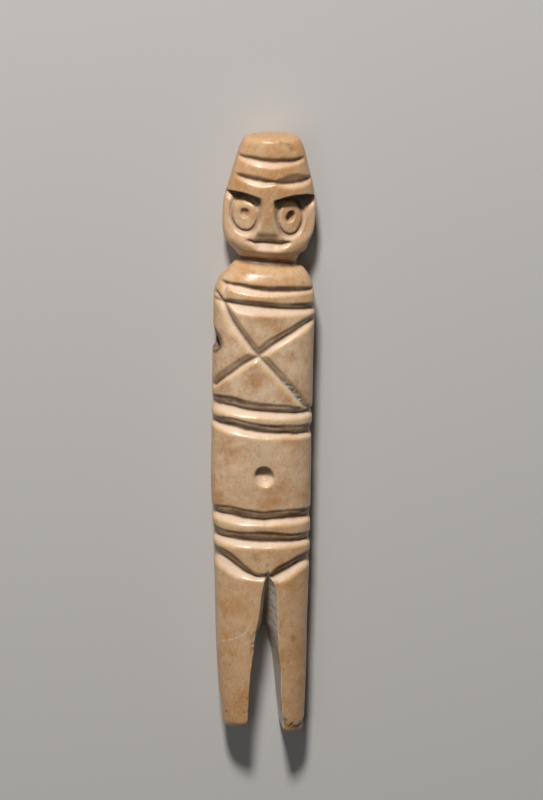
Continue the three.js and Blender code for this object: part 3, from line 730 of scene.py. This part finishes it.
# %% Golden handling
# Hands have turned the crown, the shoulders, the legs and the edges golden, less the chest.
GOLDEN = [(-45, 0.8), (-20, 0.6), (-5, 0.25), (12, 0.0), (19, 0.2), (23, 0.65), (30, 0.55),
          (35, 0.85), (38, 0.85), (45, 1.0)]
golden = flow(ALONG, [p[0] for p in GOLDEN], [p[1] for p in GOLDEN])
golden = np.maximum(golden, 0.8 * rise_between(np.abs(columns_angle), 0.75, 1.5))
golden = golden * (1 - 0.25 * turned)
print("golden on the crown and the chest:", golden.max().round(2), golden.min().round(2))

# %% Make the skin
values = {"dirt_and_shade": np.clip(dirt_and_shade, 0, 1), "rake": cuts, "worn": worn,
          "scratch": pale, "golden": golden, "sawn": np.zeros_like(tape)}
skin = rolled("carved_bone_figure", skin_x, skin_y, skin_z, values)
figure = bpy.data.objects.new("carved_bone_figure", skin)
bpy.context.scene.collection.objects.link(figure)

# %% [markdown]
# ## The gap between the legs
# The legs were parted with a saw or a file: a throat slopes from the crotch down to the back,
# and an open slot runs on from it to the soles. This goes right through the bone, so it is a
# real boolean. The cutter is a rolled skin too, with four corners at each height. Its walls
# lean, so that the slot narrows towards the back, and its left wall is nibbled by the file.

# %% Lines of the gap, in millimetres
# The gap's edges on the front and on the back, as y and x, and its sloping floor, as y and z.
GAP_LEFT = [(-46.5, -1.75), (-42.9, -1.63), (-38.5, -1.53), (-35.2, -1.28), (-31.9, -0.93),
            (-30.1, -0.75), (-28.8, -0.57), (-26.6, -0.19), (-24.2, -0.02), (-22.0, 0.25),
            (-19.4, 0.7)]
GAP_RIGHT = [(-46.5, 3.8), (-42.4, 3.62), (-38.8, 3.33), (-34.9, 3.14), (-31.6, 2.76),
             (-27.2, 2.57), (-25.1, 2.42), (-22.3, 2.16), (-20.6, 1.6), (-19.4, 0.95)]
BACK_LEFT = [(-46.5, -1.7), (-44.7, -1.5), (-40.3, -1.0), (-36.0, -0.4), (-31.5, 0.2),
             (-29.3, 0.92)]
BACK_RIGHT = [(-46.5, 3.8), (-44.7, 3.55), (-40.3, 3.02), (-36.0, 2.45), (-31.7, 1.82),
              (-29.3, 1.08)]
GAP_FLOOR = [(-33.2, -1.4), (-30.6, -0.45), (-19.3, 7.95)]
GAP_FOOT, GAP_CROTCH = -46.5, -19.2
GAP_TOP, GAP_FRONT = 9.0, 7.5
GAP_ROWS, GAP_COLUMNS = 150, 73
# Places of the four corners, as shares of the way round, and back to the first.
CORNERS = [0.0, 0.44, 0.5, 0.94, 1.0]

gap_y = np.linspace(GAP_FOOT, GAP_CROTCH, GAP_ROWS)[:, None] + np.zeros((1, GAP_COLUMNS))
round_gap = np.linspace(0, 1, GAP_COLUMNS)[None, :] + np.zeros((GAP_ROWS, 1))


def gap_line(points):
    """A smooth line through places given by their y, at every row of the cutter."""
    return flow(gap_y, [p[0] for p in points], [p[1] for p in points])


print("rows and columns of the cutter:", gap_y.shape)

# %% The cutter for the gap
gap_floor = gap_line(GAP_FLOOR)
front_left, front_right = gap_line(GAP_LEFT), gap_line(GAP_RIGHT)
nibbles = 0.16 * np.abs(uneven(gap_y / 0.4, gap_y * 0 + 0.5, 74))
nibbles = nibbles * rise_between(gap_y, -37.0, -33.0) * rise_between(-gap_y, 28.0, 29.5)
front_left = front_left - nibbles
back_left, back_right = gap_line(BACK_LEFT), gap_line(BACK_RIGHT)
over = np.clip((GAP_TOP - GAP_FRONT) / np.maximum(GAP_FRONT - gap_floor, 3.0), 0, 0.5)
top_left = front_left + (front_left - back_left) * over
top_right = front_right + (front_right - back_right) * over
gap_x, gap_z = np.empty_like(gap_y), np.empty_like(gap_y)
for k in range(GAP_ROWS):
    left, bottom_left, bottom_right, right, low = (
        grid[k, 0] for grid in (top_left, back_left, back_right, top_right, gap_floor))
    gap_x[k] = np.interp(round_gap[k], CORNERS, [left, bottom_left, bottom_right, right, left])
    gap_z[k] = np.interp(round_gap[k], CORNERS, [GAP_TOP, low, low, GAP_TOP, GAP_TOP])
file_marks = 0.02 * uneven(gap_y / 0.35 + gap_z * 0.4, gap_z / 1.6, 71)
file_marks = file_marks + 0.03 * uneven(gap_y / 0.4, gap_z / 0.4, 72)
gap_x = gap_x + file_marks + 0.05 * uneven(gap_y / 2.2, round_gap * 9, 73)
gap_x[:, -1], gap_z[:, -1] = gap_x[:, 0], gap_z[:, 0]
gap_x[0], gap_z[0] = gap_x[0].mean(), gap_z[0].mean()
gap_x[-1], gap_z[-1] = gap_x[-1].mean(), GAP_TOP - 0.3
gap_slant = 0.09 * rise_between(gap_y, -45.0, -40.0)
sawn_faces = {"sawn": np.ones_like(gap_x)}
gap_skin = rolled("gap_cutter", gap_x, gap_y - gap_slant * gap_x, gap_z, sawn_faces)

# %% [markdown]
# ## The hole at the left edge
# A round hole was drilled into the left edge, level with the crossed grooves, and has broken
# open, perhaps for a thread. One cone, a little narrower towards the inside and pushed in
# from the side, cuts it.

# %% The cutter for the hole
HOLE_DEPTH, HOLE_MIDDLE_X = 4.4, -7.3
HOLE_WAY = Vector((1, 0, -0.35))

bm = bmesh.new()
bmesh.ops.create_cone(bm, cap_ends=True, segments=40, radius1=HOLE_R * 1.25 * MM,
                      radius2=HOLE_R * 0.7 * MM, depth=HOLE_DEPTH * MM)
inwards = Vector((0, 0, 1)).rotation_difference(HOLE_WAY)
bmesh.ops.rotate(bm, verts=bm.verts, matrix=inwards.to_matrix())
bmesh.ops.translate(bm, verts=bm.verts, vec=Vector((HOLE_MIDDLE_X, HOLE_Y, HOLE_Z)) * MM)
bmesh.ops.recalc_face_normals(bm, faces=bm.faces)
hole_skin = bpy.data.meshes.new("hole_cutter")
bm.to_mesh(hole_skin)
bm.free()
print("hole cutter faces:", len(hole_skin.polygons))

# %% Cut the gap and the hole
def subtract(piece, cutter_mesh):
    """Takes a closed mesh away from a piece, for good."""
    cutter = bpy.data.objects.new("cutter", cutter_mesh)
    bpy.context.scene.collection.objects.link(cutter)
    taken = piece.modifiers.new("cut", "BOOLEAN")
    taken.operation, taken.solver, taken.object = "DIFFERENCE", "MANIFOLD", cutter
    view = bpy.context.evaluated_depsgraph_get()
    made = bpy.data.meshes.new_from_object(piece.evaluated_get(view))
    piece.modifiers.clear()
    piece.data = made
    bpy.data.objects.remove(cutter)
    print(piece.name, "has now", len(made.polygons), "faces and keeps",
          [a.name for a in made.attributes])


subtract(figure, gap_skin)
subtract(figure, hole_skin)

# %% [markdown]
# ## Shade in the hole
# The points that a boolean makes have no values of their own, so the hole's wall would come
# out light. It is painted fully dark as shade instead, set by place.

# %% Paint shade on the wall of the hole
HOLE_SHADE_REACH = 1.5

places = np.empty(len(figure.data.vertices) * 3)
figure.data.vertices.foreach_get("co", places)
places = places.reshape(-1, 3) / MM
from_hole = np.hypot(places[:, 1] - HOLE_Y, places[:, 2] - HOLE_Z)
in_hole = (from_hole < HOLE_SHADE_REACH) & (places[:, 0] < LEFT_OF)
dirt_and_shade_kept = figure.data.attributes["dirt_and_shade"].data
old_dirt_and_shade = np.empty(len(places), np.float32)
dirt_and_shade_kept.foreach_get("value", old_dirt_and_shade)
dirt_and_shade_kept.foreach_set("value", np.where(in_hole, 1.0, old_dirt_and_shade).astype(np.float32))
print("darkened points in the hole:", int(in_hole.sum()))

# %% [markdown]
# ## Softening the new edges
# The boolean leaves knife-sharp edges at the gap and the hole, and on the object they are
# worn round and a little chipped. Only the points near such an edge are smoothed.

# %% Round the edges that the booleans left
SHARP_ANGLE = 0.6
CROTCH_Y = -0.0185
HOLE_SIDE_X, HOLE_FROM_Y, HOLE_TO_Y = -0.006, 0.0125, 0.0165


def newly_cut(v):
    """Whether a point lies at the gap or at the hole."""
    at_hole = v.co.x < HOLE_SIDE_X and HOLE_FROM_Y < v.co.y < HOLE_TO_Y
    return v.co.y < CROTCH_Y or at_hole


bm = bmesh.new()
bm.from_mesh(figure.data)
for _ in range(3):
    sharp = {v for e in bm.edges if e.is_manifold and e.calc_face_angle(0) > SHARP_ANGLE
             for v in e.verts if newly_cut(v)}
    bmesh.ops.smooth_vert(bm, verts=list(sharp), factor=0.5, use_axis_x=True, use_axis_y=True,
                          use_axis_z=True)
open_edges = sum(not e.is_manifold for e in bm.edges)
print("points near sharp edges:", len(sharp), "open edges:", open_edges)
bm.to_mesh(figure.data)
bm.free()
figure.data.polygons.foreach_set("use_smooth", [True] * len(figure.data.polygons))
triangles = sum(len(p.vertices) - 2 for p in figure.data.polygons)
print("triangles:", triangles)

# %% [markdown]
# ## Compact bone
# The material is the dense outer wall of a long bone, knife carved and polished by handling.
# That gives the eye a warm, slightly waxy tan with a soft shine, fine dark streaks and pores
# along the bone, orange patches where it was handled most, pale pinkish cuts, and old dirt and
# painted shade in the grooves and hollows. Patterns are read from the object's own coordinates,
# in metres.

# %% Helpers for the material
def linear(hex_colour):
    """A linear colour from an sRGB hex value."""
    parts = [int(hex_colour[i:i + 2], 16) / 255 for i in (1, 3, 5)]
    return [c / 12.92 if c <= 0.04045 else ((c + 0.055) / 1.055) ** 2.4 for c in parts] + [1.0]


def add(kind, output, inputs=None, **settings):
    """One output of a new node, with its settings, and its inputs set or linked."""
    node = tree.nodes.new(kind)
    for key, value in settings.items():
        setattr(node, key, value)
    for key, value in (inputs or {}).items():
        socket = node.inputs[key]
        if isinstance(value, bpy.types.NodeSocket):
            tree.links.new(value, socket)
        else:
            socket.default_value = value
    return node.outputs[output] if len(node.outputs) else node


bone = bpy.data.materials.new("compact bone, knife carved and hand polished")
bone.use_nodes = True
tree = bone.node_tree
tree.nodes.clear()
print("material:", bone.name)

# %% Patterns of the bone
place = add("ShaderNodeTexCoord", "Object")
drawn = add("ShaderNodeMapping", 0, {"Vector": place, "Scale": (1.0, 0.5, 1.0)})
slanted = add("ShaderNodeMapping", 0, {"Vector": place, "Rotation": (0, 0, -0.55),
                                       "Scale": (1, 6, 1)}, vector_type="TEXTURE")
# Patches about 5 mm across, clouds 1.5 mm, streaks 0.6 mm, grain 0.2 mm, pores 0.3 mm, and
# rubbed lines 0.4 mm wide and 2 mm long. Real grain and rubbed lines are finer still.
patches = add("ShaderNodeTexNoise", 0, {
    "Vector": place, "Scale": 170, "Detail": 5, "Roughness": 0.62})
clouds = add("ShaderNodeTexNoise", 0, {
    "Vector": place, "Scale": 620, "Detail": 4, "Roughness": 0.65})
streaks = add("ShaderNodeTexNoise", 0, {
    "Vector": drawn, "Scale": 1700, "Detail": 3, "Distortion": 1.0})
grain = add("ShaderNodeTexNoise", 0, {"Vector": drawn, "Scale": 5200, "Detail": 2})
rubbed = add("ShaderNodeTexNoise", 0, {
    "Vector": slanted, "Scale": 2400, "Detail": 2, "Distortion": 0.4})
pores = add("ShaderNodeTexVoronoi", "Distance", {"Vector": drawn, "Scale": 1500})
kept = {key: add("ShaderNodeAttribute", "Fac", attribute_name=key)
        for key in ("dirt_and_shade", "rake", "worn", "scratch", "golden", "sawn")}
print("values kept by the carving:", list(kept))

# %% Colours laid over the bone, one after another
LAYERS = [
    # what it is, the pattern, its limits, the share there, the kept value it needs, the colour
    ("pale clouds", clouds, 0.38, 0.62, 0.0, 1.0, None, "#E6CCAB"),
    ("orange patches", patches, 0.50, 0.64, 0.0, 0.7, None, "#B57C4A"),
    ("pale patches", patches, 0.46, 0.36, 0.0, 0.6, None, "#DBC3A2"),
    ("golden handling", patches, 0.3, 0.6, 0.6, 0.95, "golden", "#C58E55"),
    ("brown streaks", streaks, 0.52, 0.72, 0.0, 0.4, None, "#A0744C"),
    ("light grain", grain, 0.5, 0.75, 0.0, 0.3, None, "#E8D4B4"),
    ("rubbed lines", rubbed, 0.56, 0.72, 0.0, 0.24, None, "#E6D2B8"),
    ("dark pores", pores, 0.16, 0.04, 0.0, 0.35, None, "#74502F"),
    ("pale cuts", clouds, 0.2, 0.6, 0.55, 0.95, "rake", "#EBCFB6"),
    ("worn lips", clouds, 0.2, 0.6, 0.3, 0.6, "worn", "#E2BE8C"),
    ("sawn bone", clouds, 0.2, 0.6, 0.8, 0.95, "sawn", "#D9CDBF"),
    # One dark colour serves both the old dirt and the painted shade.
    ("old dirt", clouds, 0.3, 0.7, 0.95, 0.7, "dirt_and_shade", "#44291B"),
    ("fresh scratches", clouds, 0.3, 0.6, 0.35, 0.75, "scratch", "#E4D8CA"),
]
colour = linear("#DAB491")
for label, pattern, start, stop, low, high, key, hex_colour in LAYERS:
    share = add("ShaderNodeMapRange", 0, {
        "Value": pattern, "From Min": start, "From Max": stop, "To Min": low, "To Max": high},
        label=label)
    if key:
        share = add("ShaderNodeMath", 0, {0: share, 1: kept[key]}, operation="MULTIPLY")
    colour = add("ShaderNodeMix", 2, {0: share, 6: colour, 7: linear(hex_colour)}, data_type="RGBA")
print("colours:", len(LAYERS) + 1)

# %% Polish, relief and the shader
roughness = add("ShaderNodeMapRange", 0, {"Value": clouds, "From Min": 0.3, "From Max": 0.7,
                                          "To Min": 0.3, "To Max": 0.42})
for key, dullness in (("rake", 0.6), ("worn", 0.2), ("sawn", 0.7), ("dirt_and_shade", 0.65)):
    roughness = add("ShaderNodeMix", 0, {0: kept[key], 2: roughness, 3: dullness})
polish = add("ShaderNodeMapRange", 0, {"Value": kept["rake"], "To Min": 0.16, "To Max": 0.0})
polish = add("ShaderNodeMix", 0, {0: kept["worn"], 2: polish, 3: 0.45})
relief = add("ShaderNodeMath", 0, {0: grain, 1: streaks}, operation="ADD")
relief = add("ShaderNodeBump", 0, {"Height": relief, "Strength": 0.3, "Distance": 0.00007})
relief = add("ShaderNodeBump", 0, {"Height": pores, "Strength": 0.25, "Distance": 0.00006,
                                   "Normal": relief})
shader = add("ShaderNodeBsdfPrincipled", 0, {
    "Base Color": colour, "Roughness": roughness, "Normal": relief, "IOR": 1.55,
    "Subsurface Weight": 0.1, "Subsurface Radius": (0.9, 0.5, 0.3), "Subsurface Scale": 0.0006,
    "Coat Weight": polish, "Coat Roughness": 0.22,
})
add("ShaderNodeOutputMaterial", 0, {"Surface": shader})
figure.data.materials.clear()
figure.data.materials.append(bone)
print("nodes in the bone:", len(tree.nodes))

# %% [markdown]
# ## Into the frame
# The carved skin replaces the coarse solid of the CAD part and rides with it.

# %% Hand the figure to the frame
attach(figure, "root")
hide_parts("bone_figure")
print("the skin rides with the figure and replaces its solid")

# %% [markdown]
# ## Floor, light and camera
# The figure lies on a plain pale floor. One soft key light stands low beyond its head, so that
# the steep groove walls, which face the feet, fall dark, and the rakes shine. The camera looks
# down almost straight, a little from the head's side and from the viewer's left, from far
# away, as the photograph does.

# %% Floor
FLOOR_HALF = 0.6

bm = bmesh.new()
bmesh.ops.create_grid(bm, x_segments=1, y_segments=1, size=FLOOR_HALF)
floor_mesh = bpy.data.meshes.new("floor")
bm.to_mesh(floor_mesh)
bm.free()
floor_object = bpy.data.objects.new("floor", floor_mesh)
bpy.context.scene.collection.objects.link(floor_object)
paper = bpy.data.materials.new("matte pale paper")
paper.use_nodes = True
paper_shader = paper.node_tree.nodes["Principled BSDF"]
paper_shader.inputs["Base Color"].default_value = linear("#C9C8C6")
paper_shader.inputs["Roughness"].default_value = 0.9
floor_mesh.materials.append(paper)
print("floor, mm:", round(floor_object.dimensions.x / MM))

# %% Camera
# How far the camera is turned to the viewer's left, tilted to the head and rolled.
TURN, TILT, ROLL = (math.radians(a) for a in (5, 15, 1))
AIM_RIGHT, AIM_UP = 1.75, 3.876
FIELD_HEIGHT = 117.28 * MM
DISTANCE = 2.0
SENSOR = 24.0

right = Vector((math.cos(TURN), 0, math.sin(TURN)))
up = Vector((math.sin(TURN) * math.sin(TILT), math.cos(TILT), -math.cos(TURN) * math.sin(TILT)))
back = right.cross(up)
right, up = (right * math.cos(ROLL) + up * math.sin(ROLL),
             up * math.cos(ROLL) - right * math.sin(ROLL))
aim = (right * AIM_RIGHT + up * AIM_UP) * MM
camera_data = bpy.data.cameras.new("camera")
camera_data.sensor_fit = "VERTICAL"
camera_data.sensor_height = SENSOR
camera_data.sensor_width = SENSOR
camera_data.lens = SENSOR * DISTANCE / FIELD_HEIGHT
camera_data.clip_start, camera_data.clip_end = 0.1, 10
camera = bpy.data.objects.new("camera", camera_data)
bpy.context.scene.collection.objects.link(camera)
camera.location = aim + back * DISTANCE
camera.rotation_mode = "QUATERNION"
camera.rotation_quaternion = Matrix((right, up, back)).transposed().to_quaternion()
bpy.context.scene.camera = camera
print("lens, mm:", round(camera_data.lens, 1))


# %% Lights
def lamp(name, size, power, azimuth, elevation, distance, colour=(1, 1, 1)):
    """A square soft light, in metres and watts. Azimuth 0 is beyond the head, 90 the right."""
    data = bpy.data.lights.new(name, "AREA")
    data.size, data.energy, data.color = size, power, colour
    a, e = math.radians(azimuth), math.radians(elevation)
    way = Vector((math.sin(a) * math.cos(e), math.cos(a) * math.cos(e), math.sin(e)))
    lamp_object = bpy.data.objects.new(name, data)
    lamp_object.location = way * distance
    lamp_object.rotation_mode = "QUATERNION"
    lamp_object.rotation_quaternion = way.to_track_quat("Z", "Y")
    bpy.context.scene.collection.objects.link(lamp_object)


WORLD_STRENGTH = 0.045
lamp("key", 0.098, 5.0, -10, 36, 0.7, (1.0, 0.97, 0.93))
lamp("left fill", 0.6, 0.75, -80, 58, 1.0)
lamp("fill", 1.2, 0.35, -35, 75, 1.4)
world = bpy.data.worlds.new("studio")
world.use_nodes = True
world_light = world.node_tree.nodes["Background"]
world_light.inputs["Color"].default_value = (1, 1, 1, 1)
world_light.inputs["Strength"].default_value = WORLD_STRENGTH
bpy.context.scene.world = world
bpy.context.scene.view_settings.view_transform = "Standard"
